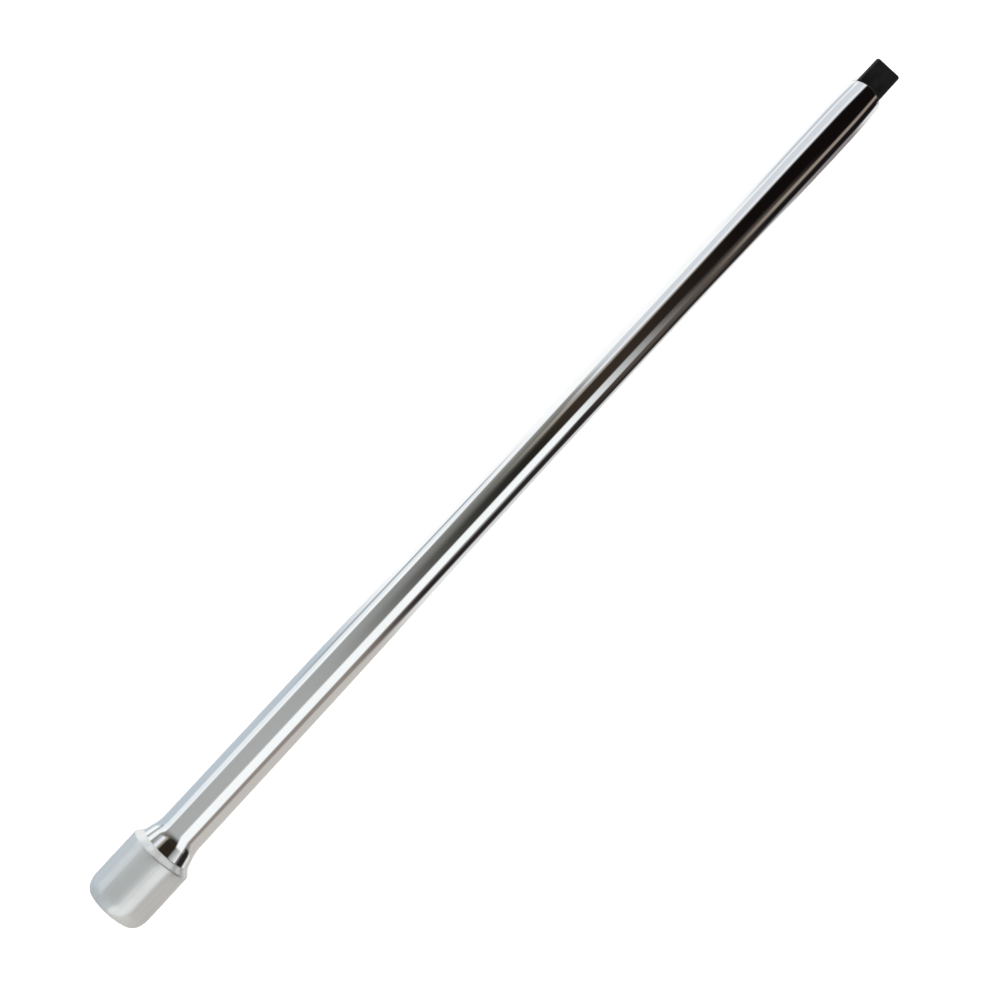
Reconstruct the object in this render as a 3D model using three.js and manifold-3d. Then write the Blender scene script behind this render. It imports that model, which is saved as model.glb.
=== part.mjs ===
// Half-inch drive extension bar, 450 mm long: one forged bar with a female square in its head and a male
// square at its tip, and the spring-loaded ball that holds a socket on the male square.
// Millimetres, +Z up. The bar lies along X, its tip at +X. The origin is on its axis at half its length.

import * as THREE from "three";
import { mergeVertices } from "three/addons/utils/BufferGeometryUtils.js";
import Module from "manifold-3d";

const wasm = await Module();
wasm.setup();

// Driving dimensions.
const LENGTH = 450;

const HEAD_DIAMETER = 24.9;
const HEAD_LENGTH = 24.4; // open face to the bevel
const END_FACE_DIAMETER = 18.8; // flat ring around the mouth
const END_ROUNDING_LENGTH = 5.6;
const BEVEL_LENGTH = 2.4; // between the head and its shoulder
const BEVEL_DIAMETER = 20.6;
const SHOULDER_CONE_LENGTH = 4; // shallow cone behind the bevel
const SHOULDER_CONE_DIAMETER = 18.2; // its small end
const SHOULDER_FILLET_LENGTH = 4; // hollow blend from the cone to the shaft

const SHAFT_DIAMETER = 17;
const WAIST_DIAMETER = 15.4;
const WAIST_STARTS = 231; // distances from the open face
const WAIST_ENDS = 300;
const TAPER_STARTS = 103;

const COLLAR_DIAMETER = 17.8;
const COLLAR_FROM_SHOULDER = 18; // the collar's thickest place
const NOSE_DIAMETER = 16.8; // where the collar's nose meets its rounded edge
const NOSE_ROUNDING = 0.4;

const DRIVE_SQUARE = 12.65; // male, across flats
const DRIVE_LENGTH = 14.6;
const DRIVE_CORNER_RADIUS = 1.25;
const DRIVE_TIP_CHAMFER = 0.5;
const DRIVE_ROOT = 8; // length of the square buried in the collar

const SOCKET_SQUARE = 12.9; // female, across flats
const SOCKET_DEPTH = 17;
const SOCKET_CORNER_RADIUS = 0.5;
const MOUTH_DIAMETER = 16.6; // of the 45-degree chamfer around the mouth
const RELIEF_DIAMETER = 13.6; // turned room for chips behind the broached square
const RELIEF_STARTS = 16;
const RELIEF_DEPTH = 19.5;
const DRILL_POINT_ANGLE = 118;

const DETENT_DISTANCE = 7.6; // from the open face to the recesses, and from the shoulder to the ball
const RECESS_RADIUS = 2.6;
const RECESS_DEPTH = 1.1;

const BALL_RADIUS = 2.4;
const BALL_PROUD = 1;
const BALL_BORE_RADIUS = 2.6;
const BALL_BORE_DEPTH = 8.5;
const STAKED_MOUTH_RADIUS = 2.15; // the mouth is closed in below the ball's radius
const STAKED_LENGTH = 1;

const SPRING_COIL_RADIUS = 1.9;
const SPRING_WIRE_RADIUS = 0.25;
const SPRING_TURNS = 6;
const SPRING_CLOSED_TURNS = 1; // at each end
const SPRING_GAP = 0.2; // to the ball and to the bore's floor

// How finely the round faces are cut.
const BAR_SIDES = 48;
const BORE_SIDES = 24;
const ARC_STEPS = 5;
const TAPER_STEPS = 8;
const SPRING_STEPS_PER_TURN = 14;
const SPRING_WIRE_SIDES = 6;

// Places worked out from them.
const OPEN_FACE = -LENGTH / 2;
const TIP = LENGTH / 2;
const SHOULDER = TIP - DRIVE_LENGTH;
const COLLAR = SHOULDER - COLLAR_FROM_SHOULDER;
const DRIVE_FLAT = DRIVE_SQUARE / 2;
const BALL_X = SHOULDER + DETENT_DISTANCE;
const BALL_Z = -DRIVE_FLAT - BALL_PROUD + BALL_RADIUS;
const BORE_FLOOR_Z = -DRIVE_FLAT + BALL_BORE_DEPTH;

const chrome = new THREE.MeshStandardMaterial({ color: 0xd8dcde, metalness: 1, roughness: 0.08 });
const bearingSteel = new THREE.MeshStandardMaterial({ color: 0xc4c4c2, metalness: 1, roughness: 0.15 });
const springSteel = new THREE.MeshStandardMaterial({ color: 0x8d8f90, metalness: 1, roughness: 0.35 });

// A geometry as a solid that manifold-3d can cut. Triangles with no area, as at a lathe's poles, are dropped.
function solid(geometry) {
  geometry.deleteAttribute("normal");
  geometry.deleteAttribute("uv");
  const merged = mergeVertices(geometry, 1e-4);
  const index = merged.index.array;
  const triangles = [];
  for (let i = 0; i < index.length; i += 3) {
    const [a, b, c] = index.slice(i, i + 3);
    if (a !== b && b !== c && c !== a) {
      triangles.push(a, b, c);
    }
  }
  const mesh = new wasm.Mesh({
    numProp: 3,
    vertProperties: new Float32Array(merged.attributes.position.array),
    triVerts: new Uint32Array(triangles),
  });
  return new wasm.Manifold(mesh);
}

function geometryOf(manifold) {
  const mesh = manifold.getMesh();
  const geometry = new THREE.BufferGeometry();
  geometry.setAttribute("position", new THREE.BufferAttribute(new Float32Array(mesh.vertProperties), 3));
  geometry.setIndex(new THREE.BufferAttribute(new Uint32Array(mesh.triVerts), 1));
  geometry.computeVertexNormals();
  return geometry;
}

// Points of a quarter of an ellipse between two [along, radius] points. It leaves the first one parallel
// to the axis and arrives at the second one square to it.
function arc(from, to) {
  const points = [];
  for (let i = 0; i <= ARC_STEPS; i++) {
    const angle = (i / ARC_STEPS) * (Math.PI / 2);
    const along = Math.sin(angle);
    const across = 1 - Math.cos(angle);
    points.push([from[0] + (to[0] - from[0]) * along, from[1] + (to[1] - from[1]) * across]);
  }
  return points;
}

// Points of a shallow curve that leaves the first point parallel to the axis.
function shallowCurve(from, to) {
  const points = [];
  for (let i = 0; i <= ARC_STEPS; i++) {
    const t = i / ARC_STEPS;
    points.push([from[0] + (to[0] - from[0]) * t, from[1] + (to[1] - from[1]) * t ** 2]);
  }
  return points;
}

// Points of a smooth change of radius: it leaves and arrives parallel to the axis.
function taper(from, to) {
  const points = [];
  for (let i = 0; i <= TAPER_STEPS; i++) {
    const t = i / TAPER_STEPS;
    const blend = THREE.MathUtils.smoothstep(t, 0, 1);
    points.push([from[0] + (to[0] - from[0]) * t, from[1] + (to[1] - from[1]) * blend]);
  }
  return points;
}

// A round body from an outline of [along, radius] points. Its flat sides touch the true radius from
// outside, and one of them faces each of +Y, -Y, +Z and -Z.
function revolve(outline, sides) {
  const reach = 1 / Math.cos(Math.PI / sides);
  const points = outline.map(([along, radius]) => new THREE.Vector2(radius * reach, along));
  return new THREE.LatheGeometry(points, sides, Math.PI / sides);
}

function revolveAboutX(outline, sides) {
  return revolve(outline, sides).rotateZ(-Math.PI / 2);
}

function roundedSquare(width, cornerRadius) {
  const half = width / 2;
  const straight = half - cornerRadius;
  const shape = new THREE.Shape();
  shape.moveTo(half, -straight);
  for (let corner = 0; corner < 4; corner++) {
    const start = (corner * Math.PI) / 2;
    const x = straight * Math.SQRT2 * Math.cos(start + Math.PI / 4);
    const y = straight * Math.SQRT2 * Math.sin(start + Math.PI / 4);
    shape.absarc(x, y, cornerRadius, start, start + Math.PI / 2, false);
  }
  shape.closePath();
  return shape;
}

// A square prism along X, from x to x + length.
function squarePrism(width, cornerRadius, x, length, chamfer) {
  const geometry = new THREE.ExtrudeGeometry(roundedSquare(width, cornerRadius), {
    depth: length - 2 * chamfer,
    curveSegments: 3,
    bevelEnabled: chamfer > 0,
    bevelThickness: chamfer,
    bevelSize: chamfer,
    bevelOffset: -chamfer,
    bevelSegments: 1,
  });
  return geometry.rotateY(Math.PI / 2).translate(x + chamfer, 0, 0);
}

function barBlank() {
  const headRadius = HEAD_DIAMETER / 2;
  const shaftRadius = SHAFT_DIAMETER / 2;
  const waistRadius = WAIST_DIAMETER / 2;
  const collarRadius = COLLAR_DIAMETER / 2;
  const noseRadius = NOSE_DIAMETER / 2;
  const bevelStart = OPEN_FACE + HEAD_LENGTH;
  const bevelEnd = bevelStart + BEVEL_LENGTH;
  const coneEnd = bevelEnd + SHOULDER_CONE_LENGTH;
  const shaftStart = coneEnd + SHOULDER_FILLET_LENGTH;
  const noseEnd = SHOULDER - NOSE_ROUNDING;
  return [
    [OPEN_FACE, 0],
    ...arc([OPEN_FACE + END_ROUNDING_LENGTH, headRadius], [OPEN_FACE, END_FACE_DIAMETER / 2]).reverse(),
    [bevelStart, headRadius],
    [bevelEnd, BEVEL_DIAMETER / 2],
    ...shallowCurve([shaftStart, shaftRadius], [coneEnd, SHOULDER_CONE_DIAMETER / 2]).reverse(),
    ...taper([OPEN_FACE + TAPER_STARTS, shaftRadius], [OPEN_FACE + WAIST_STARTS, waistRadius]),
    ...taper([OPEN_FACE + WAIST_ENDS, waistRadius], [COLLAR, collarRadius]),
    ...shallowCurve([COLLAR, collarRadius], [noseEnd, noseRadius]).slice(1),
    ...arc([noseEnd, noseRadius], [SHOULDER, noseRadius - NOSE_ROUNDING]).slice(1),
    [SHOULDER, 0],
  ];
}

// The square socket with its chamfered mouth, and the round relief behind it.
function socketHollow() {
  const overshoot = 1;
  const square = solid(
    squarePrism(SOCKET_SQUARE, SOCKET_CORNER_RADIUS, OPEN_FACE - overshoot, SOCKET_DEPTH + overshoot, 0),
  );
  const reliefRadius = RELIEF_DIAMETER / 2;
  const pointLength = reliefRadius / Math.tan(THREE.MathUtils.degToRad(DRILL_POINT_ANGLE / 2));
  const relief = solid(
    revolveAboutX(
      [
        [OPEN_FACE + RELIEF_STARTS, 0],
        [OPEN_FACE + RELIEF_STARTS, reliefRadius],
        [OPEN_FACE + RELIEF_DEPTH, reliefRadius],
        [OPEN_FACE + RELIEF_DEPTH + pointLength, 0],
      ],
      BORE_SIDES,
    ),
  );
  const mouthRadius = MOUTH_DIAMETER / 2;
  const mouth = solid(
    revolveAboutX(
      [
        [OPEN_FACE - overshoot, 0],
        [OPEN_FACE - overshoot, mouthRadius + overshoot],
        [OPEN_FACE + mouthRadius, 0],
      ],
      BORE_SIDES,
    ),
  );
  return square.add(relief).add(mouth);
}

// One recess in each wall of the socket, which a ball snaps into.
function socketRecesses() {
  const fromAxis = SOCKET_SQUARE / 2 + RECESS_DEPTH - RECESS_RADIUS;
  const recesses = [];
  for (let side = 0; side < 4; side++) {
    const angle = (side * Math.PI) / 2;
    const sphere = new THREE.SphereGeometry(RECESS_RADIUS, BORE_SIDES, BORE_SIDES / 2);
    sphere.translate(OPEN_FACE + DETENT_DISTANCE, fromAxis * Math.cos(angle), fromAxis * Math.sin(angle));
    recesses.push(solid(sphere));
  }
  return recesses;
}

// The blind hole for the ball and its spring, open at the square's lower flat.
function ballBore() {
  const overshoot = 0.5;
  const flare = STAKED_MOUTH_RADIUS - ((BALL_BORE_RADIUS - STAKED_MOUTH_RADIUS) * overshoot) / STAKED_LENGTH;
  const outline = [
    [-overshoot, 0],
    [-overshoot, flare],
    [STAKED_LENGTH, BALL_BORE_RADIUS],
    [BALL_BORE_DEPTH, BALL_BORE_RADIUS],
    [BALL_BORE_DEPTH, 0],
  ];
  const hole = revolve(outline, BORE_SIDES).rotateX(Math.PI / 2);
  return solid(hole.translate(BALL_X, 0, -DRIVE_FLAT));
}

function bar() {
  const blank = solid(revolveAboutX(barBlank(), BAR_SIDES));
  const drive = solid(
    squarePrism(
      DRIVE_SQUARE,
      DRIVE_CORNER_RADIUS,
      SHOULDER - DRIVE_ROOT,
      DRIVE_ROOT + DRIVE_LENGTH,
      DRIVE_TIP_CHAMFER,
    ),
  );
  let body = blank.add(drive).subtract(socketHollow()).subtract(ballBore());
  for (const recess of socketRecesses()) {
    body = body.subtract(recess);
  }
  return new THREE.Mesh(geometryOf(body), chrome);
}

function detentBall() {
  const ball = new THREE.Mesh(new THREE.SphereGeometry(BALL_RADIUS, BORE_SIDES, BORE_SIDES / 2), bearingSteel);
  ball.position.set(BALL_X, 0, BALL_Z);
  return ball;
}

// The spring's wire: a helix about Z from the ball's side to the bore's floor, with closed end turns.
class SpringPath extends THREE.Curve {
  constructor(lowZ, highZ) {
    super();
    this.lowZ = lowZ;
    this.highZ = highZ;
  }

  getPoint(t, target = new THREE.Vector3()) {
    const turn = t * SPRING_TURNS;
    const closedPitch = 2 * SPRING_WIRE_RADIUS * 1.1;
    const closedRise = SPRING_CLOSED_TURNS * closedPitch;
    const openTurns = SPRING_TURNS - 2 * SPRING_CLOSED_TURNS;
    const openRise = this.highZ - this.lowZ - 2 * closedRise;
    const inFirst = Math.min(turn, SPRING_CLOSED_TURNS);
    const inOpen = THREE.MathUtils.clamp(turn - SPRING_CLOSED_TURNS, 0, openTurns);
    const inLast = Math.max(turn - SPRING_CLOSED_TURNS - openTurns, 0);
    const rise = (inFirst + inLast) * closedPitch + (inOpen / openTurns) * openRise;
    const angle = 2 * Math.PI * turn;
    return target.set(
      SPRING_COIL_RADIUS * Math.cos(angle),
      SPRING_COIL_RADIUS * Math.sin(angle),
      this.lowZ + rise,
    );
  }
}

function detentSpring() {
  const reach = BALL_RADIUS + SPRING_WIRE_RADIUS + SPRING_GAP;
  const lowZ = BALL_Z + Math.sqrt(reach ** 2 - SPRING_COIL_RADIUS ** 2);
  const highZ = BORE_FLOOR_Z - SPRING_WIRE_RADIUS - SPRING_GAP;
  const section = new THREE.Shape().absarc(0, 0, SPRING_WIRE_RADIUS, 0, 2 * Math.PI, false);
  const geometry = new THREE.ExtrudeGeometry(section, {
    extrudePath: new SpringPath(lowZ, highZ),
    steps: SPRING_TURNS * SPRING_STEPS_PER_TURN,
    curveSegments: SPRING_WIRE_SIDES,
  });
  const spring = new THREE.Mesh(geometry, springSteel);
  spring.position.x = BALL_X;
  return spring;
}

const pieces = { bar: bar(), detent_ball: detentBall(), detent_spring: detentSpring() };
const extensionBar = new THREE.Group();
for (const [name, piece] of Object.entries(pieces)) {
  piece.name = name;
  extensionBar.add(piece);
}

export default extensionBar;
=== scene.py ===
"""Half-inch drive extension bar, lying on a pale floor in a soft studio.

The bar's smooth surface is built here from rings of points around its axis, inside the space that the packed
bar holds. The detent ball and its spring are rebuilt the same way. Sizes are in millimetres and are turned
into metres as each mesh is made; angles are in degrees.
"""

import math

import bmesh
import bpy
import numpy as np
from mathutils import Matrix, Vector


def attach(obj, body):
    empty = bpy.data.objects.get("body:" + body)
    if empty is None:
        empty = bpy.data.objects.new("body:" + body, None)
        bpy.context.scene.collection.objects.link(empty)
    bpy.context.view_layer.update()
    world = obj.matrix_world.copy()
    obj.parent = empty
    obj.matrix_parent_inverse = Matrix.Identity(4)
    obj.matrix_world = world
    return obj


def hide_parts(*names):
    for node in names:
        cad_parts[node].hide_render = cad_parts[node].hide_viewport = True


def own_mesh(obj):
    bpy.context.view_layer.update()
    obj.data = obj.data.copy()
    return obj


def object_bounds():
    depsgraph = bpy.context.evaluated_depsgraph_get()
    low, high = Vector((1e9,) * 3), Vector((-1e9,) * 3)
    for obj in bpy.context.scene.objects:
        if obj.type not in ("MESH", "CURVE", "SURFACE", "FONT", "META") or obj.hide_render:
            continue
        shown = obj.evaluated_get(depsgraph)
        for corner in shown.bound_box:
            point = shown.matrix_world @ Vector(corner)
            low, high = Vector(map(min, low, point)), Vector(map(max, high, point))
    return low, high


MM = 0.001

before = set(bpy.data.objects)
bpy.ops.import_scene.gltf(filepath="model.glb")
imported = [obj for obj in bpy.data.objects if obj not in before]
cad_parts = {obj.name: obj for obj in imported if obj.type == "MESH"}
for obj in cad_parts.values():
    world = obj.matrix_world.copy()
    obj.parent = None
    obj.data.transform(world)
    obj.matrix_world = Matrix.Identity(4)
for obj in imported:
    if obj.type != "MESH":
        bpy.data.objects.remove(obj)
cad_low, cad_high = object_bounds()

# ---------------------------------------------------------------- sizes, in millimetres

LENGTH = (cad_high.x - cad_low.x) / MM
OPEN_FACE = -LENGTH / 2
TIP = LENGTH / 2

HEAD_RADIUS = (cad_high.z - cad_low.z) / MM / 2
HEAD_LENGTH = 24.4
END_FACE_RADIUS = 9.4
END_ROUNDING_LENGTH = 5.6
BEVEL_LENGTH = 2.4
BEVEL_RADIUS = 10.3
CONE_LENGTH = 4.0
CONE_RADIUS = 9.1
FILLET_LENGTH = 4.0

SHAFT_RADIUS = 8.5
WAIST_RADIUS = 7.7
TAPER_STARTS = 103.0
WAIST_STARTS = 231.0
WAIST_ENDS = 300.0

COLLAR_RADIUS = 8.9
COLLAR_FROM_SHOULDER = 18.0
NOSE_RADIUS = 8.4
NOSE_ROUNDING = 0.4

DRIVE_HALF = 6.325
DRIVE_LENGTH = 14.6
DRIVE_CORNER = 1.25
DRIVE_TIP_CHAMFER = 0.5
SHOULDER = TIP - DRIVE_LENGTH
COLLAR = SHOULDER - COLLAR_FROM_SHOULDER

SOCKET_HALF = 6.45
SOCKET_DEPTH = 17.0
SOCKET_CORNER = 0.5
MOUTH_RADIUS = 8.3
RELIEF_RADIUS = 6.8
RELIEF_STARTS = 16.0
RELIEF_DEPTH = 19.5
DRILL_POINT_ANGLE = 118.0

DETENT_DISTANCE = 7.6
RECESS_RADIUS = 2.6
RECESS_DEPTH = 1.1

BALL_RADIUS = 2.4
BALL_PROUD = 1.0
BALL_X = SHOULDER + DETENT_DISTANCE
BALL_Z = -DRIVE_HALF - BALL_PROUD + BALL_RADIUS
BORE_RADIUS = 2.6
BORE_DEPTH = 8.5
BORE_FLOOR = -DRIVE_HALF + BORE_DEPTH
STAKED_RADIUS = 2.15
STAKED_LENGTH = 1.0

SPRING_COIL_RADIUS = 1.9
SPRING_WIRE_RADIUS = 0.25
SPRING_TURNS = 6

# ---------------------------------------------------------------- how finely things are drawn

AROUND = 256
BLEND = 0.25  # how far an edge between two surfaces is rounded over
EDGE = 0.2  # how far the bevel's front edge is broken
RING_GAP = 0.01  # the least distance between two rings
ROOT_FILLET = 0.3  # at the foot of the male square
SQUARE_REACH = 14.0  # how far inside the collar the male square is blended in
NEAR_BORE = 3.4  # rings lie closer together this far to both sides of the ball


def smooth_max(a, b, width=BLEND):
    """The larger of two radii, rounded over where they are nearly equal."""
    share = np.clip(0.5 + 0.5 * (a - b) / width, 0, 1)
    return b + (a - b) * share + width * share * (1 - share)


def steps(start, end, count):
    """Evenly spaced values from start up to, but not including, end."""
    return [start + (end - start) * i / count for i in range(count)]


def smoothstep(t):
    """A smooth change from 0 to 1."""
    t = min(max(t, 0.0), 1.0)
    return t * t * (3 - 2 * t)


ANGLES = np.arange(AROUND) * (2 * np.pi / AROUND)


def square_radius(half, corner):
    """Distance from the axis to a rounded square's outline, in each direction around it."""
    across = np.abs(np.cos(ANGLES))
    along = np.abs(np.sin(ANGLES))
    flat = half / np.maximum(across, along)
    centre = half - corner
    on_corner = flat * np.minimum(across, along) > centre
    reach = centre * (across + along)
    inside = np.maximum(reach**2 - 2 * centre**2 + corner**2, 0)
    return np.where(on_corner, reach + np.sqrt(inside), flat)


def recess_radius(offset):
    """Distance from the axis to the four ball recesses, in each direction, or 0 where there is none."""
    centre = SOCKET_HALF + RECESS_DEPTH - RECESS_RADIUS
    nearest_flat = np.round(ANGLES / (np.pi / 2)) * (np.pi / 2)
    turn = ANGLES - nearest_flat
    inside = RECESS_RADIUS**2 - offset**2 - (centre * np.sin(turn)) ** 2
    return np.where(inside > 0, centre * np.cos(turn) + np.sqrt(np.maximum(inside, 0)), 0)


# ---------------------------------------------------------------- the bar's rings

def socket_rings():
    """Rings inside the head, from near the drill point out to the mouth: (x, radius in each direction)."""
    rings = []
    point_length = RELIEF_RADIUS / math.tan(math.radians(DRILL_POINT_ANGLE / 2))
    for share in (0.15, 0.35, 0.6, 0.8, 0.93, 1.0):
        x = RELIEF_DEPTH + point_length * (1 - share)
        rings.append((x, np.full(AROUND, RELIEF_RADIUS * share)))
    square = square_radius(SOCKET_HALF, SOCKET_CORNER)
    depths = steps(RELIEF_DEPTH, SOCKET_DEPTH, 6)
    for x in depths[1:] + [SOCKET_DEPTH]:
        rings.append((x, np.full(AROUND, RELIEF_RADIUS)))
    walls = [SOCKET_DEPTH - 0.02, SOCKET_DEPTH - 0.3, SOCKET_DEPTH - 0.7]
    walls += [RELIEF_STARTS + 0.05, RELIEF_STARTS - 0.05, RELIEF_STARTS - 0.2]
    for x in walls:
        radius = square
        if x > RELIEF_STARTS:
            radius = smooth_max(square, RELIEF_RADIUS, 0.1)
        rings.append((x, radius))
    recess_far = DETENT_DISTANCE + RECESS_RADIUS
    recess_near = DETENT_DISTANCE - RECESS_RADIUS
    depths = steps(RELIEF_STARTS - 0.6, recess_far, 8)
    depths += steps(recess_far, recess_near, 26)
    depths += steps(recess_near, 2.4, 8)
    depths += steps(2.4, 0, 12)
    for x in depths + [0.0]:
        mouth = MOUTH_RADIUS - x
        radius = smooth_max(square, recess_radius(x - DETENT_DISTANCE), 0.12)
        rings.append((x, smooth_max(radius, mouth, 0.15)))
    return [(OPEN_FACE + x, radius) for x, radius in rings]


def shaft_radius(x):
    """The shaft's radius at a distance from the open face."""
    if x < WAIST_ENDS:
        share = smoothstep((x - TAPER_STARTS) / (WAIST_STARTS - TAPER_STARTS))
        return SHAFT_RADIUS + (WAIST_RADIUS - SHAFT_RADIUS) * share
    share = smoothstep((x - WAIST_ENDS) / (COLLAR - OPEN_FACE - WAIST_ENDS))
    return WAIST_RADIUS + (COLLAR_RADIUS - WAIST_RADIUS) * share


def quarter(start, end, count):
    """Points of a quarter ellipse that leaves start parallel to the axis and meets end square to it."""
    points = []
    for i in range(count + 1):
        angle = math.pi / 2 * i / count
        x = start[0] + (end[0] - start[0]) * math.sin(angle)
        radius = start[1] + (end[1] - start[1]) * (1 - math.cos(angle))
        points.append((x, radius))
    return points


def head_outline():
    """Outline points of the head and its shoulder, from the open face's ring to the shaft."""
    rounding_end = OPEN_FACE + END_ROUNDING_LENGTH
    bevel_start = OPEN_FACE + HEAD_LENGTH
    bevel_end = bevel_start + BEVEL_LENGTH
    cone_end = bevel_end + CONE_LENGTH
    points = [(OPEN_FACE, MOUTH_RADIUS + 0.5), (OPEN_FACE, END_FACE_RADIUS - 0.3)]
    points += quarter((rounding_end, HEAD_RADIUS), (OPEN_FACE, END_FACE_RADIUS), 18)[::-1]
    points += [(x, HEAD_RADIUS) for x in steps(rounding_end + 1, bevel_start - 2 * EDGE, 8)]
    slope = (HEAD_RADIUS - BEVEL_RADIUS) / BEVEL_LENGTH
    points.append((bevel_start - EDGE, HEAD_RADIUS))
    points.append((bevel_start - EDGE * 0.2, HEAD_RADIUS - EDGE * slope * 0.2))
    for x in steps(EDGE, BEVEL_LENGTH - 2 * RING_GAP, 6):
        points.append((bevel_start + x, HEAD_RADIUS - slope * x))
    points.append((bevel_end, BEVEL_RADIUS))
    fall = (BEVEL_RADIUS - CONE_RADIUS) / CONE_LENGTH
    for x in steps(5 * RING_GAP, CONE_LENGTH, 10):
        points.append((bevel_end + x, BEVEL_RADIUS - fall * x))
    for left in steps(1, 0, 16) + [0.0]:
        x = cone_end + FILLET_LENGTH * (1 - left)
        points.append((x, SHAFT_RADIUS + (CONE_RADIUS - SHAFT_RADIUS) * left**2))
    return points


def drive_half(x):
    """Half the male square's width at x, less its tip chamfer."""
    left = TIP - x
    return DRIVE_HALF - float(smooth_max(DRIVE_TIP_CHAMFER - left, 0.0, 0.3))


def collar_outline():
    """Outline points of the collar's nose and end face, with a small fillet at the square's foot."""
    nose_end = SHOULDER - NOSE_ROUNDING
    points = []
    for x in steps(COLLAR, nose_end, 24):
        share = (x - COLLAR) / (nose_end - COLLAR)
        points.append((x, COLLAR_RADIUS + (NOSE_RADIUS - COLLAR_RADIUS) * share**2))
    points += quarter((nose_end, NOSE_RADIUS), (SHOULDER, NOSE_RADIUS - NOSE_ROUNDING), 8)
    points.append((SHOULDER + RING_GAP, DRIVE_HALF + ROOT_FILLET + 0.2))
    foot = SHOULDER + 2 * RING_GAP
    fillet_end = (foot + ROOT_FILLET, DRIVE_HALF - 2 * RING_GAP)
    points += quarter(fillet_end, (foot, DRIVE_HALF + ROOT_FILLET), 5)[::-1]
    return points


def square_places():
    """Places of the rings along the male square."""
    near = BALL_X - NEAR_BORE
    far = BALL_X + NEAR_BORE
    chamfer_start = TIP - 3 * DRIVE_TIP_CHAMFER
    places = steps(SHOULDER + 2 * ROOT_FILLET, near, 7)
    places += steps(near, far, 40)
    places += steps(far, chamfer_start, 6)
    places += steps(chamfer_start, TIP - 2 * RING_GAP, 14)
    return places


def drive_ring(x):
    """The male square's distance from the axis at x, in each direction."""
    half = drive_half(x)
    return square_radius(half, DRIVE_CORNER - (DRIVE_HALF - half))


def outer_rings():
    """Rings outside, from the open face to the tip."""
    outline = head_outline()
    shaft_start = outline[-1][0]
    outline += [(x, shaft_radius(x - OPEN_FACE)) for x in steps(shaft_start + 2, COLLAR, 132)]
    outline += collar_outline()
    outline += [(x, 0.0) for x in square_places()]
    rings = []
    for x, radius in outline:
        around = np.full(AROUND, float(radius))
        if x > SHOULDER - SQUARE_REACH:
            around = smooth_max(around, drive_ring(x))
        rings.append((x, around))
    for share in (0.985, 0.9, 0.6, 0.25):
        rings.append((TIP, drive_ring(TIP) * share))
    return rings


def mesh_from_rings(name, rings, first_x, last_x):
    """A closed mesh: a pole, the rings around the X axis, and a pole."""
    points = [(first_x, 0.0, 0.0)]
    for x, radius in rings:
        for angle, r in zip(ANGLES, radius):
            points.append((x, r * math.cos(angle), r * math.sin(angle)))
    points.append((last_x, 0.0, 0.0))
    last = len(points) - 1
    faces = []
    for i in range(AROUND):
        j = (i + 1) % AROUND
        faces.append((0, 1 + i, 1 + j))
        for ring in range(len(rings) - 1):
            base = 1 + ring * AROUND
            ahead = base + AROUND
            faces.append((base + i, ahead + i, ahead + j, base + j))
        end = 1 + (len(rings) - 1) * AROUND
        faces.append((end + i, last, end + j))
    mesh = bpy.data.meshes.new(name)
    mesh.from_pydata([tuple(c * MM for c in p) for p in points], [], faces)
    return mesh


def link(name, mesh):
    """Puts a mesh in the scene."""
    obj = bpy.data.objects.new(name, mesh)
    bpy.context.scene.collection.objects.link(obj)
    return obj


def face_outwards(mesh):
    shape = bmesh.new()
    shape.from_mesh(mesh)
    bmesh.ops.recalc_face_normals(shape, faces=shape.faces)
    shape.to_mesh(mesh)
    shape.free()


def smooth_shading(mesh, angle):
    mesh.polygons.foreach_set("use_smooth", [True] * len(mesh.polygons))
    mesh.set_sharp_from_angle(angle=math.radians(angle))


# ---------------------------------------------------------------- pieces

def bore_cutter():
    """The space of the ball's blind bore, with its staked mouth, standing a little out of the lower flat."""
    sides = 72
    outside = -0.4
    outline = [
        (outside, 0.0),
        (outside, STAKED_RADIUS + 0.22),
        (0.0, STAKED_RADIUS + 0.02),
        (0.1, STAKED_RADIUS),
        (STAKED_LENGTH, BORE_RADIUS),
        (BORE_DEPTH, BORE_RADIUS),
        (BORE_DEPTH, 0.0),
    ]
    points = []
    for depth, radius in outline:
        count = 1 if radius == 0 else sides
        for i in range(count):
            angle = 2 * math.pi * i / sides
            x = BALL_X + radius * math.cos(angle)
            y = radius * math.sin(angle)
            points.append((x * MM, y * MM, (depth - DRIVE_HALF) * MM))
    faces = []
    for i in range(sides):
        j = (i + 1) % sides
        faces.append((0, 1 + j, 1 + i))
        for ring in range(len(outline) - 3):
            base = 1 + ring * sides
            faces.append((base + i, base + j, base + sides + j, base + sides + i))
        end = 1 + (len(outline) - 3) * sides
        faces.append((end + i, end + j, len(points) - 1))
    mesh = bpy.data.meshes.new("bore_cutter")
    mesh.from_pydata(points, [], faces)
    face_outwards(mesh)
    return link("bore_cutter", mesh)


def apply_modifiers(obj):
    """Turns an object's modifiers into its own mesh."""
    depsgraph = bpy.context.evaluated_depsgraph_get()
    result = bpy.data.meshes.new_from_object(obj.evaluated_get(depsgraph))
    obj.modifiers.clear()
    old = obj.data
    obj.data = result
    bpy.data.meshes.remove(old)


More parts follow.
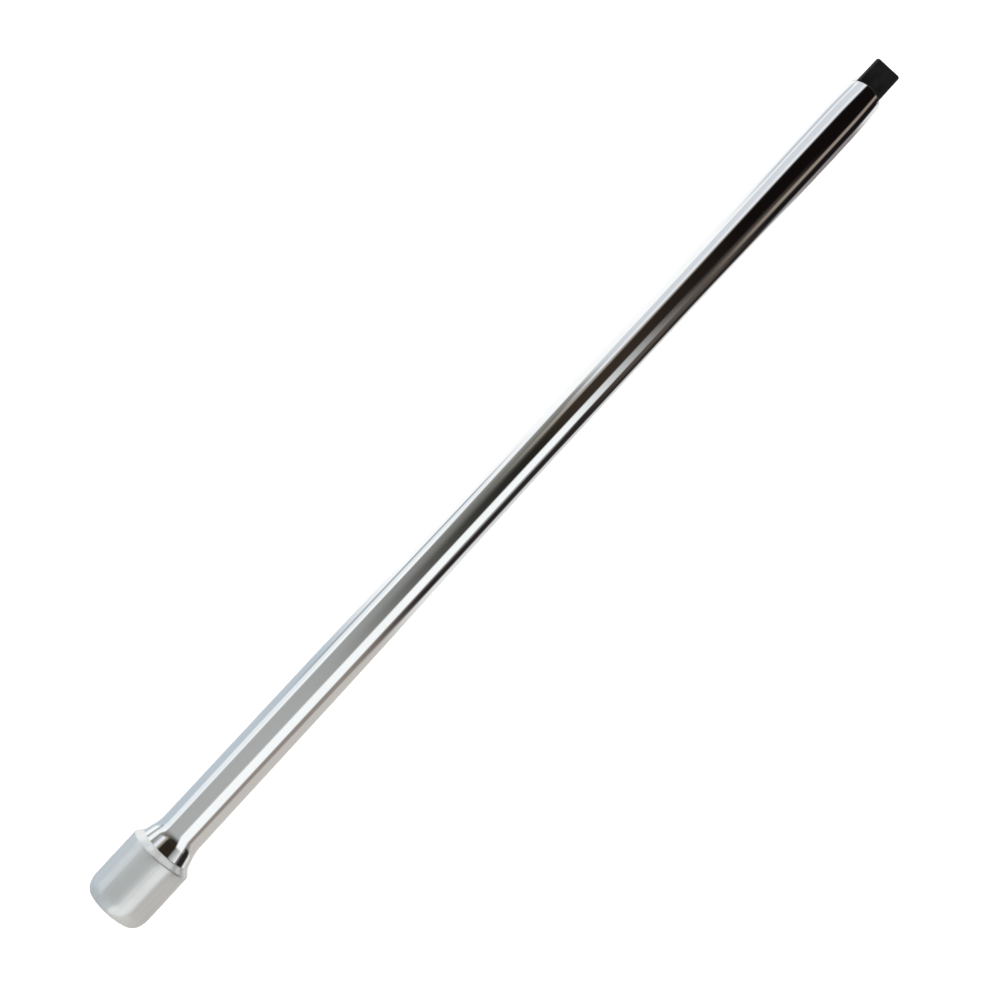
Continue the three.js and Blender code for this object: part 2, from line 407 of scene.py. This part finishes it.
def make_bar():
    rings = socket_rings() + outer_rings()
    point_length = RELIEF_RADIUS / math.tan(math.radians(DRILL_POINT_ANGLE / 2))
    drill_point = OPEN_FACE + RELIEF_DEPTH + point_length
    mesh = mesh_from_rings("bar_finish", rings, drill_point, TIP)
    face_outwards(mesh)
    bar = link("bar_finish", mesh)
    cutter = bore_cutter()
    cut = bar.modifiers.new("bore", "BOOLEAN")
    cut.operation = "DIFFERENCE"
    cut.solver = "EXACT"
    cut.object = cutter
    apply_modifiers(bar)
    bpy.data.objects.remove(cutter)
    smooth_shading(bar.data, 32)
    return bar


def make_ball():
    shape = bmesh.new()
    bmesh.ops.create_icosphere(shape, subdivisions=5, radius=BALL_RADIUS * MM)
    bmesh.ops.translate(shape, verts=shape.verts, vec=(BALL_X * MM, 0, BALL_Z * MM))
    mesh = bpy.data.meshes.new("ball_finish")
    shape.to_mesh(mesh)
    shape.free()
    smooth_shading(mesh, 60)
    return link("ball_finish", mesh)


def spring_ends():
    """Heights of the wire's centre line where it meets the ball and the bore's floor."""
    reach = BALL_RADIUS + SPRING_WIRE_RADIUS
    on_ball = BALL_Z + math.sqrt(reach**2 - SPRING_COIL_RADIUS**2) + 0.02
    return on_ball, BORE_FLOOR - SPRING_WIRE_RADIUS - 0.01


def make_spring():
    """A round wire along a helix whose end turns lie close."""
    low, high = spring_ends()
    per_turn = 48
    around = 12
    count = SPRING_TURNS * per_turn
    closed_pitch = 2.1 * SPRING_WIRE_RADIUS
    open_pitch = (high - low - 2 * closed_pitch) / (SPRING_TURNS - 2)
    centres = []
    height = low
    for i in range(count + 1):
        turn = i / per_turn
        angle = 2 * math.pi * turn
        x = SPRING_COIL_RADIUS * math.cos(angle)
        y = SPRING_COIL_RADIUS * math.sin(angle)
        centres.append(Vector((x, y, height)))
        closed = turn < 1 or turn >= SPRING_TURNS - 1
        height += (closed_pitch if closed else open_pitch) / per_turn
    points = []
    for i, centre in enumerate(centres):
        ahead = centres[min(i + 1, count)] - centres[max(i - 1, 0)]
        outward = Vector((centre.x, centre.y, 0)).normalized()
        side = ahead.normalized().cross(outward)
        for k in range(around):
            angle = 2 * math.pi * k / around
            offset = outward * math.cos(angle) + side * math.sin(angle)
            points.append((centre + offset * SPRING_WIRE_RADIUS + Vector((BALL_X, 0, 0))) * MM)
    faces = [tuple(range(around)), tuple(range(count * around, (count + 1) * around))]
    for i in range(count):
        for k in range(around):
            here = i * around
            right = (k + 1) % around
            faces.append((here + k, here + right, here + around + right, here + around + k))
    mesh = bpy.data.meshes.new("spring_finish")
    mesh.from_pydata([tuple(p) for p in points], [], faces)
    face_outwards(mesh)
    smooth_shading(mesh, 50)
    return link("spring_finish", mesh)


# ---------------------------------------------------------------- materials

class Graph:
    """Short ways to add nodes to a material or a world."""

    def __init__(self, tree):
        self.tree = tree
        tree.nodes.clear()

    def node(self, kind, **settings):
        made = self.tree.nodes.new(kind)
        for key, value in settings.items():
            setattr(made, key, value)
        return made

    def feed(self, socket, value):
        if isinstance(value, bpy.types.NodeSocket):
            self.tree.links.new(value, socket)
        else:
            socket.default_value = value

    def math(self, operation, a, b=0.0):
        made = self.node("ShaderNodeMath", operation=operation)
        self.feed(made.inputs[0], a)
        self.feed(made.inputs[1], b)
        return made.outputs[0]

    def ramp(self, value, low, high, to_low=0.0, to_high=1.0):
        """A smooth change from to_low to to_high while value goes from low to high."""
        made = self.node("ShaderNodeMapRange", interpolation_type="SMOOTHSTEP")
        for socket, number in zip(made.inputs, (value, low, high, to_low, to_high)):
            self.feed(socket, number)
        return made.outputs[0]

    def linear(self, value, low, high, to_low, to_high):
        """The same, in a straight line that goes on past both ends."""
        made = self.node("ShaderNodeMapRange", clamp=False)
        for socket, number in zip(made.inputs, (value, low, high, to_low, to_high)):
            self.feed(socket, number)
        return made.outputs[0]

    def mix(self, share, a, b):
        made = self.node("ShaderNodeMix", data_type="RGBA")
        self.feed(made.inputs["Factor"], share)
        self.feed(made.inputs["A"], a)
        self.feed(made.inputs["B"], b)
        return made.outputs["Result"]

    def coordinates(self, kind, scale=(1, 1, 1)):
        source = self.node("ShaderNodeTexCoord")
        mapping = self.node("ShaderNodeMapping")
        self.feed(mapping.inputs["Vector"], source.outputs[kind])
        mapping.inputs["Scale"].default_value = scale
        return mapping.outputs[0]

    def noise(self, vector, scale, detail=4.0, roughness=0.5):
        made = self.node("ShaderNodeTexNoise")
        self.feed(made.inputs["Vector"], vector)
        made.inputs["Scale"].default_value = scale
        made.inputs["Detail"].default_value = detail
        made.inputs["Roughness"].default_value = roughness
        return made.outputs["Fac"]

    def finish(self, kind, shader):
        """Adds the output node."""
        self.feed(self.node(kind).inputs["Surface"], shader)

    def bump(self, height, strength, distance):
        made = self.node("ShaderNodeBump")
        self.feed(made.inputs["Height"], height)
        made.inputs["Strength"].default_value = strength
        made.inputs["Distance"].default_value = distance
        return made.outputs["Normal"]


def new_material(name):
    material = bpy.data.materials.new(name)
    material.use_nodes = True
    return material, Graph(material.node_tree)


def metal(name, colour, worn_colour, roughness, spread, grain_scale, grain_depth, streaks=0.0, coat=None):
    """Metal with a fine grain, drawn out along the directions where grain_scale is small.

    spread is how much rougher the roughest places are, and streaks is how much the grain shows in the
    colour, beside broad faint smudges. coat is a clear skin's refractive index and roughness.
    """
    material, g = new_material(name)
    grain = g.noise(g.coordinates("Object", grain_scale), 1.0, 3.0, 0.6)
    smudges = g.noise(g.coordinates("Object", SMUDGE_SCALE), 1.0, 5.0, 0.55)
    marks = g.math("ADD", g.math("MULTIPLY", grain, streaks), g.math("MULTIPLY", smudges, 1 - streaks))
    evenly = g.math("ADD", g.math("MULTIPLY", grain, 0.5), g.math("MULTIPLY", smudges, 0.5))
    rough = g.ramp(evenly, 0.3, 0.7)
    shader = g.node("ShaderNodeBsdfPrincipled")
    shader.inputs["Metallic"].default_value = 1.0
    if coat:
        shader.inputs["Coat Weight"].default_value = 1.0
        shader.inputs["Coat IOR"].default_value = coat[0]
        shader.inputs["Coat Roughness"].default_value = coat[1]
    g.feed(shader.inputs["Base Color"], g.mix(g.ramp(marks, 0.35, 0.7), (*colour, 1), (*worn_colour, 1)))
    g.feed(shader.inputs["Roughness"], g.ramp(rough, 0, 1, roughness, roughness + spread))
    g.feed(shader.inputs["Normal"], g.bump(grain, 0.25, grain_depth))
    g.finish("ShaderNodeOutputMaterial", shader.outputs[0])
    return material


SMUDGE_SCALE = (60, 160, 160)
LONG_STROKES = (40, 9000, 9000)
HEAD_BANDS = (12, 260, 260)
BROACH_LINES = (250, 5200, 5200)


def polished_chrome():
    """Mirror-bright plating with the faint lines of long polishing strokes."""
    bright = (0.83, 0.85, 0.87)
    dull = (0.80, 0.82, 0.84)
    return metal("polished_chrome", bright, dull, 0.035, 0.04, LONG_STROKES, 2e-6, 0.5)


def satin_chrome():
    """Blasted and then plated: a dull ground under a thin bright skin, with faint bands along the head."""
    bright = (0.80, 0.83, 0.845)
    dull = (0.71, 0.735, 0.75)
    return metal("satin_chrome", bright, dull, 0.48, 0.1, HEAD_BANDS, 2e-6, 0.75, coat=(2.4, 0.08))


def socket_chrome():
    """Thin, dull plating on the broached walls inside the socket."""
    bright = (0.55, 0.56, 0.57)
    dull = (0.42, 0.42, 0.43)
    return metal("socket_chrome", bright, dull, 0.3, 0.12, BROACH_LINES, 8e-6, 0.4)


def black_steel():
    """The black finish of the male square."""
    black = (0.05, 0.05, 0.052)
    worn = (0.075, 0.075, 0.078)
    return metal("black_steel", black, worn, 0.36, 0.12, (2500, 2500, 2500), 6e-6, 0.3)


def ball_steel():
    """Bright bearing steel."""
    return metal("ball_steel", (0.74, 0.74, 0.73), (0.66, 0.65, 0.64), 0.1, 0.08, (2600, 2600, 2600), 2e-6)


def spring_steel():
    """Dull drawn wire."""
    return metal("spring_steel", (0.5, 0.51, 0.52), (0.36, 0.35, 0.34), 0.28, 0.12, (1500, 1500, 1500), 3e-6)


def finish_bar(bar):
    """Gives each face of the bar its finish by where it is."""
    for material in (polished_chrome(), satin_chrome(), socket_chrome(), black_steel()):
        bar.data.materials.append(material)
    polished, satin, inside, black = range(4)
    open_face = OPEN_FACE * MM
    mouth_radius = (MOUTH_RADIUS + 0.05) * MM
    satin_end = (OPEN_FACE + HEAD_LENGTH + BEVEL_LENGTH) * MM
    socket_end = (OPEN_FACE + RELIEF_DEPTH + 5) * MM
    black_start = (SHOULDER - NOSE_ROUNDING) * MM
    for face in bar.data.polygons:
        x, y, z = face.center
        if open_face + RING_GAP * MM < x < socket_end and math.hypot(y, z) < mouth_radius:
            face.material_index = inside
        elif x < satin_end:
            face.material_index = satin
        elif x > black_start:
            face.material_index = black
        else:
            face.material_index = polished


# ---------------------------------------------------------------- floor, light and camera

FLOOR_REACH = 4000.0
FLOOR_GAP = 0.02
BACKDROP_RADIUS = 1800.0


def make_floor():
    """A wide floor that touches the head and the collar. It is clear from below, to show the underside."""
    head_x = OPEN_FACE + HEAD_LENGTH
    slope = (HEAD_RADIUS - COLLAR_RADIUS) / (COLLAR - head_x)
    points = []
    for across, along in ((-1, -1), (1, -1), (1, 1), (-1, 1)):
        x = across * FLOOR_REACH
        z = -HEAD_RADIUS - FLOOR_GAP + slope * (x - head_x)
        points.append((x * MM, along * FLOOR_REACH * MM, z * MM))
    mesh = bpy.data.meshes.new("floor")
    mesh.from_pydata(points, [], [(0, 1, 2, 3)])
    floor = link("floor", mesh)
    material, g = new_material("pale_floor")
    shader = g.node("ShaderNodeBsdfPrincipled")
    shader.inputs["Base Color"].default_value = (0.9, 0.9, 0.9, 1)
    shader.inputs["Roughness"].default_value = 0.85
    seen = g.node("ShaderNodeMixShader")
    g.feed(seen.inputs[0], g.node("ShaderNodeNewGeometry").outputs["Backfacing"])
    g.feed(seen.inputs[1], shader.outputs[0])
    g.feed(seen.inputs[2], g.node("ShaderNodeBsdfTransparent").outputs[0])
    g.finish("ShaderNodeOutputMaterial", seen.outputs[0])
    mesh.materials.append(material)
    floor.visible_glossy = False


def make_backdrop():
    """A plain white dome behind everything, which neither lights the bar nor shows in it."""
    shape = bmesh.new()
    bmesh.ops.create_icosphere(shape, subdivisions=4, radius=BACKDROP_RADIUS * MM)
    mesh = bpy.data.meshes.new("backdrop")
    shape.to_mesh(mesh)
    shape.free()
    backdrop = link("backdrop", mesh)
    material, g = new_material("white_paper")
    glow = g.node("ShaderNodeEmission")
    glow.inputs["Color"].default_value = (1, 1, 1, 1)
    g.finish("ShaderNodeOutputMaterial", glow.outputs[0])
    mesh.materials.append(material)
    backdrop.visible_glossy = False
    backdrop.visible_diffuse = False
    backdrop.visible_transmission = False
    backdrop.visible_shadow = False


# The studio around the bar, as seen from it: paper, lamps and black cards that run along it. A direction's
# "side" is its angle from straight up, positive towards +Y, and its "lean" is the sine of its angle towards
# the male end. Each panel has sides at NEAR_LEAN and at FAR_LEAN, the softness of those edges, leans and the
# softness of those, and a brightness. Later panels cover earlier ones.
NEAR_LEAN = -0.2
FAR_LEAN = 0.6
ROOM = (1.15, 1.14, 1.12)
PANELS = {
    # overhead
    "ceiling": ((-70, 60), (-70, 60), 10, (-2, 0.80), 0.06, (0.47, 0.475, 0.46)),
    "dim_ceiling": ((-70, 60), (-70, 60), 10, (0.08, 0.80), 0.36, (0.17, 0.165, 0.145)),
    "shade": ((-60, 24), (-60, 24), 44, (0.11, 0.80), 0.28, (0.020, 0.018, 0.013)),
    "grey_strip": ((50, 40), (50, 96), 14, (0.15, 0.33), 0.10, (0.27, 0.26, 0.24)),
    "dark_end": ((-88, 34), (-88, 26), 16, (0.265, 0.80), 0.05, (0.042, 0.030, 0.022)),
    "beige_edge": ((24, 48), (26, 38), 12, (0.24, 0.46), 0.10, (0.42, 0.37, 0.31)),
    "black_end": ((-88, 34), (-88, 24), 12, (0.39, 0.80), 0.14, (0.006, 0.004, 0.004)),
    "end_card": ((-10, 60), (-10, 60), 12, (0.82, 0.97), 0.04, (0.58, 0.55, 0.50)),
    # upper side (+Y)
    "side_strip": ((64, 88), (91, 97), 10, (-2, 0.24), 0.14, (0.96, 1.01, 1.03)),
    "high_strip": ((48, 78), (32, 78), 10, (0.32, 0.80), 0.06, (0.76, 0.79, 0.82)),
    "high_white": ((55, 66), (28, 42), 12, (0.30, 0.80), 0.06, (0.98, 0.98, 1.0)),
    "blue_floor": ((88, 180), (106, 180), 10, (-2, 0.05), 0.12, (0.59, 0.65, 0.70)),
    "grey_line": ((88, 100), (100, 116), 10, (-0.03, 0.22), 0.08, (0.42, 0.46, 0.48)),
    "far_line": ((86, 108), (86, 108), 12, (0.47, 0.85), 0.08, (0.66, 0.70, 0.76)),
    # lower side (-Y)
    "pale_floor": ((-180, -58), (-150, -72), 12, (-2, 0.09), 0.12, (0.64, 0.60, 0.56)),
    "warm_line": ((-76, -57), (-130, -62), 13, (-2, 0.14), 0.12, (0.33, 0.28, 0.25)),
    "waist_floor": ((-165, -100), (-165, -100), 30, (0.12, 0.62), 0.12, (0.80, 0.79, 0.77)),
    "dark_rail": ((-84, -64), (-146, -78), 18, (0.05, 0.5), 0.12, (0.026, 0.021, 0.020)),
    "brown_glow": ((-98, -44), (-98, -44), 26, (0.32, 0.50), 0.08, (0.105, 0.085, 0.07)),
    "lavender_floor": ((-180, -112), (-180, -112), 18, (0.50, 0.575), 0.04, (0.30, 0.27, 0.26)),
    "beige_line": ((-80, -60), (-73, -56), 9, (0.44, 0.80), 0.08, (0.34, 0.28, 0.23)),
    "black_rail": ((-136, -84), (-112, -78), 14, (0.44, 0.80), 0.06, (0.010, 0.008, 0.009)),
    "open_end": ((-40, 180), (-40, 180), 30, (-2, -0.52), 0.24, (0.50, 0.53, 0.55)),
    "long_box": ((-57, -12), (-75, -38), 10, (-2, 0.335), 0.16, (1.11, 1.12, 1.10)),
}


def make_world():
    """The studio, as a light from every direction."""
    world = bpy.data.worlds.new("studio")
    bpy.context.scene.world = world
    world.use_nodes = True
    g = Graph(world.node_tree)
    source = g.node("ShaderNodeTexCoord")
    split = g.node("ShaderNodeSeparateXYZ")
    g.feed(split.inputs[0], source.outputs["Generated"])
    lean = split.outputs["X"]
    side = g.math("MULTIPLY", g.math("ARCTAN2", split.outputs["Y"], split.outputs["Z"]), 180 / math.pi)
    along = g.linear(lean, NEAR_LEAN, FAR_LEAN, 0, 1)
    colour = (*ROOM, 1)
    for near, far, side_soft, leans, lean_soft, tint in PANELS.values():
        low = g.linear(along, 0, 1, near[0], far[0])
        high = g.linear(along, 0, 1, near[1], far[1])
        above = g.ramp(g.math("SUBTRACT", side, low), -side_soft / 2, side_soft / 2)
        below = g.ramp(g.math("SUBTRACT", high, side), -side_soft / 2, side_soft / 2)
        start = g.ramp(lean, leans[0] - lean_soft / 2, leans[0] + lean_soft / 2)
        end = g.ramp(lean, leans[1] - lean_soft / 2, leans[1] + lean_soft / 2, 1, 0)
        share = g.math("MULTIPLY", g.math("MULTIPLY", above, below), g.math("MULTIPLY", start, end))
        colour = g.mix(share, colour, (*tint, 1))
    background = g.node("ShaderNodeBackground")
    g.feed(background.inputs["Color"], colour)
    g.finish("ShaderNodeOutputWorld", background.outputs[0])


LAMP_SIZE = 2.4  # metres
LAMP_HEIGHT = 1.6  # metres
LAMP_POWER = 60  # watts


def make_lights():
    """A wide lamp that lights the floor and casts the soft shadow, without showing in the chrome."""
    data = bpy.data.lights.new("overhead", "AREA")
    data.shape = "RECTANGLE"
    data.size = LAMP_SIZE
    data.size_y = LAMP_SIZE
    data.energy = LAMP_POWER
    lamp = bpy.data.objects.new("overhead", data)
    bpy.context.scene.collection.objects.link(lamp)
    lamp.location = (0, 0, LAMP_HEIGHT)
    lamp.visible_glossy = False


CAMERA_PLACE = (-110.1, -3.1, 449.6)  # millimetres
CAMERA_TILT = 11.0  # from straight down, towards the male end
CAMERA_ROLL = -47.3
CAMERA_LENS = 42.84


def make_camera():
    data = bpy.data.cameras.new("camera")
    data.lens = CAMERA_LENS
    data.sensor_width = 36
    data.clip_start = 0.01
    camera = bpy.data.objects.new("camera", data)
    bpy.context.scene.collection.objects.link(camera)
    tilt = Matrix.Rotation(math.radians(-CAMERA_TILT), 4, "Y")
    roll = Matrix.Rotation(math.radians(CAMERA_ROLL), 4, "Z")
    camera.matrix_world = Matrix.Translation(Vector(CAMERA_PLACE) * MM) @ tilt @ roll
    bpy.context.scene.camera = camera


bpy.context.scene.view_settings.view_transform = "Standard"

make_camera()
make_world()
make_lights()
make_floor()
make_backdrop()

bar = make_bar()
ball = make_ball()
spring = make_spring()
finish_bar(bar)
ball.data.materials.append(ball_steel())
spring.data.materials.append(spring_steel())

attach(bar, "bar")
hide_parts("bar")

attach(ball, "ball")
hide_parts("detent_ball")

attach(spring, "bar")
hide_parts("detent_spring")
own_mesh(spring)
